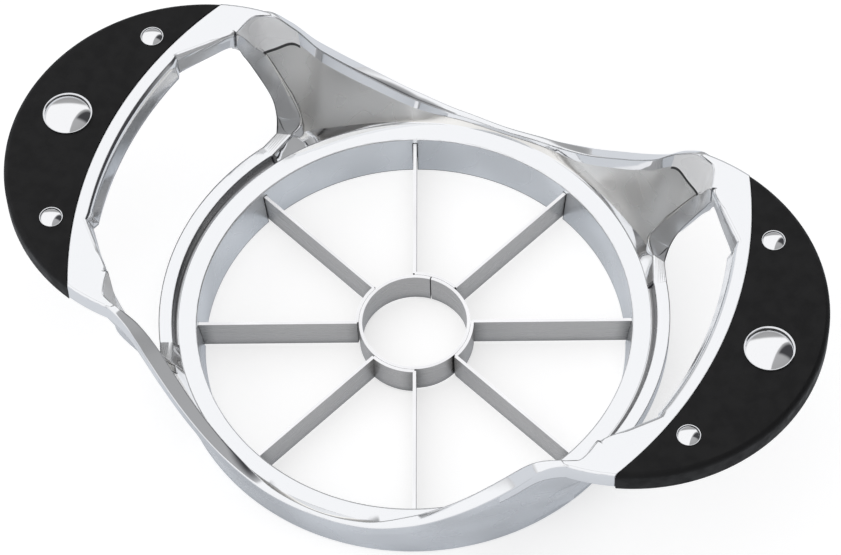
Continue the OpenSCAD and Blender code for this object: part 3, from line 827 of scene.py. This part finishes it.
def cast_chrome():
    """Bright plate over a polished casting: painted dark reflection lines at the edges, slow waves
    and a faint haze.
    """
    colour = (0.86, 0.87, 0.885)
    material, tree, shine = shader("cast_chrome", colour, 1, 0.05)
    textured(tree, shine, waves=(9, 2), depth=0.03, haze=(4, 3), limits=(0.02, 0.09),
             normal=with_painted_reflection_lines(tree, shine, colour))
    return material


def satin_chrome(name, colour, metallic, lines):
    """The same plate over metal that no wheel could polish, with painted dark reflection lines on
    the creases when lines is set. The crease and groove rows use it for painted shade, the ramp's
    row for a painted reflection.
    """
    material, tree, shine = shader(name, colour, metallic, 0.3)
    cloud = spread(tree, noise(tree, size=22, detail=1), 0, 1)
    cloudy = mixed(tree, cloud, *[tuple(share * c for c in colour) for share in CLOUD_SHARES])
    # When lines is set, the creases get painted dark reflection lines
    soft = with_painted_reflection_lines(tree, shine, cloudy) if lines else None
    if not lines:
        tree.links.new(cloudy, shine.inputs["Base Color"])
    textured(tree, shine, waves=(14, 0), depth=0.05, haze=(9, 1), limits=(0.24, 0.30), normal=soft)
    return material


def rivet_chrome():
    """Polished domes with the finest turning marks."""
    material, tree, shine = shader("rivet_chrome", (0.87, 0.875, 0.885), 1, 0.06)
    textured(tree, shine, waves=(1.2, 2), depth=0.004, haze=(2, 3), limits=(0.03, 0.10))
    return material


def strip_steel():
    """Rolled stainless strip: grain along it, a painted highlight on faces that point up, and
    painted shade in the corners.
    """
    material, tree, shine = shader("strip_steel", (0.56, 0.565, 0.57), 1, 0.3)
    grain = noise(tree, size=14, detail=4, stretch=(1, 1, 60))
    tree.links.new(bumped(tree, grain, 0.02), shine.inputs["Normal"])
    tree.links.new(spread(tree, grain, 0.24, 0.42), shine.inputs["Roughness"])
    # Painted shade: the side colour goes nearly black where ambient occlusion finds corners
    corner = tree.nodes.new("ShaderNodeAmbientOcclusion")
    corner.samples = NODE_SAMPLES
    corner.inputs["Distance"].default_value = PAINTED_SHADE_REACH * MM
    side = mixed(tree, corner.outputs["AO"], (0.04, 0.04, 0.04), (0.59, 0.575, 0.56))
    # Painted highlight: faces that point up are painted near white
    painted_top_highlight = spread(tree, parts_of(tree, true_normal(tree))["Z"], 0, 1)
    tree.links.new(mixed(tree, painted_top_highlight, side, (0.93, 0.93, 0.94)), shine.inputs["Base Color"])
    return material


def moulded_black():
    """Matte black plastic with a fine moulded grain."""
    material, tree, shine = shader("moulded_black", (0.006, 0.006, 0.0065), 0, 0.5)
    shine.inputs["Specular IOR Level"].default_value = 0.2
    textured(tree, shine, waves=(0.5, 3), depth=0.03, haze=(3, 3), limits=(0.42, 0.62))
    return material


def set_camera():
    """The scene's camera, at the photograph's viewing angle."""
    azimuth, elevation, roll = map(math.radians, (CAMERA_AZIMUTH, CAMERA_ELEVATION, CAMERA_ROLL))
    level = math.cos(elevation)
    back = Vector((math.sin(azimuth) * level, -math.cos(azimuth) * level, math.sin(elevation)))
    right = Vector((math.cos(azimuth), math.sin(azimuth), 0))
    up = back.cross(right)
    side = right * math.cos(roll) + up * math.sin(roll)
    top = up * math.cos(roll) - right * math.sin(roll)
    turn = Matrix((side, top, back)).transposed()
    at = (turn @ Vector(CAMERA_PLACE) + Vector((0, 0, AIM_HEIGHT))) * MM
    camera = bpy.data.objects.new("camera", bpy.data.cameras.new("camera"))
    camera.data.sensor_width = SENSOR
    camera.data.lens = FOCAL_PIXELS * SENSOR / PHOTO_WIDTH
    camera.data.clip_start, camera.data.clip_end = CAMERA_CLIP
    camera.matrix_world = Matrix.Translation(at) @ turn.to_4x4()
    bpy.context.scene.collection.objects.link(camera)
    bpy.context.scene.camera = camera


def set_floor():
    """A pale floor that keeps the object's shadow, white to the camera."""
    half = FLOOR_SIZE / 2
    corners = [(x * half, y * half, -FLOOR_DEPTH) for x, y in ((-1, -1), (1, -1), (1, 1), (-1, 1))]
    floor = link("floor", corners, [(0, 1, 2, 3)])
    material, tree, shine = shader("floor", FLOOR_COLOUR, 0, 1)
    shine.inputs["Specular IOR Level"].default_value = 0
    path = tree.nodes.new("ShaderNodeLightPath").outputs
    glossy = mixed(tree, path["Is Glossy Ray"], BLACK, FLOOR_GLOSS)
    glow = mixed(tree, path["Is Camera Ray"], glossy, FLOOR_GLOW)
    tree.links.new(glow, shine.inputs["Emission Color"])
    shine.inputs["Emission Strength"].default_value = 1
    floor.data.materials.append(material)


def set_studio():
    """Soft light all round, a softbox overhead and a dark side on the right."""
    world = bpy.data.worlds.new("studio")
    bpy.context.scene.world = world
    world.use_nodes = True
    tree = world.node_tree
    where = tree.nodes.new("ShaderNodeTexCoord").outputs["Generated"]
    split = parts_of(tree, where)
    azimuth = math.radians(CAMERA_AZIMUTH)
    far = dot(tree, where, Vector((-math.sin(azimuth), math.cos(azimuth), 0)))

    height = tree.nodes.new("ShaderNodeValToRGB")
    stops = height.color_ramp.elements
    for position, _, _ in ROOM_STOPS[1:-1]:
        stops.new(position)
    for stop, (_, grey, blue) in zip(stops, ROOM_STOPS):
        stop.color = (grey, grey, blue, 1)
    tree.links.new(split["Z"], height.inputs["Fac"])

    lit = spread(tree, split["Z"], 0, 1, SOFTBOX_FOOT)
    for direction, limit in ((split["X"], SOFTBOX_SIDE), (far, SOFTBOX_END)):
        both = tree.nodes.new("ShaderNodeMath")
        both.operation = "MULTIPLY"
        limits = limit * (1 + SOFTBOX_BLUR), limit * (1 - SOFTBOX_BLUR)
        tree.links.new(lit, both.inputs[0])
        tree.links.new(spread(tree, direction, 0, 1, limits), both.inputs[1])
        lit = both.outputs["Value"]
    dark = spread(tree, split["X"], 0, spread(tree, far, 0, 1, DARK_NEAR), DARK_SIDE)

    room = mixed(tree, dark, height.outputs["Color"], DARK_LIGHT)
    studio = mixed(tree, lit, room, SOFTBOX_LIGHT)
    camera_ray = tree.nodes.new("ShaderNodeLightPath").outputs["Is Camera Ray"]
    tree.links.new(mixed(tree, camera_ray, studio, WHITE), tree.nodes["Background"].inputs["Color"])


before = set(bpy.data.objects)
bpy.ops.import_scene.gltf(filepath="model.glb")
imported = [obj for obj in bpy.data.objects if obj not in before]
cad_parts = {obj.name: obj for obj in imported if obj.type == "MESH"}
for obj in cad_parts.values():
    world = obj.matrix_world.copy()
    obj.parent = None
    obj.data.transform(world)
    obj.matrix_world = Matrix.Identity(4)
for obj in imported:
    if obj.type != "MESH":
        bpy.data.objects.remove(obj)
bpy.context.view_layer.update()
bpy.context.scene.view_settings.view_transform = "Standard"
set_camera()
set_floor()
set_studio()

finishes = [cast_chrome(), *[satin_chrome(*finish) for finish in SATIN_FINISHES]]
polished, steel, black = rivet_chrome(), strip_steel(), moulded_black()
body = casting()
wear(body, finishes, "frame")
finish_parts(body)
for side, turn in (("right", 0), ("left", 180)):
    upper = place(grip_upper(), turn=turn)
    upper.name = "grip_top_" + side
    wear(upper, [black], "grip_upper_" + side)
large = [(s * LARGE_X, 0) for s in (1, -1)]
small = [(s * SMALL_X, t * SMALL_SIDE) for s in (1, -1) for t in (1, -1)]
for size, rivet, places in (("large", LARGE_RIVET, large), ("small", SMALL_RIVET, small)):
    domes = rivet_heads("rivet_domes_" + size, rivet, places)
    wear(domes, [polished], "rivet_heads_" + size)

kept = {"core": steel, "blade": steel, "grip": black, "rivet": polished}
for name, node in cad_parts.items():
    material = kept.get(name.split("_")[0])
    if material and not node.hide_render:
        for slot in node.material_slots:
            slot.material = material
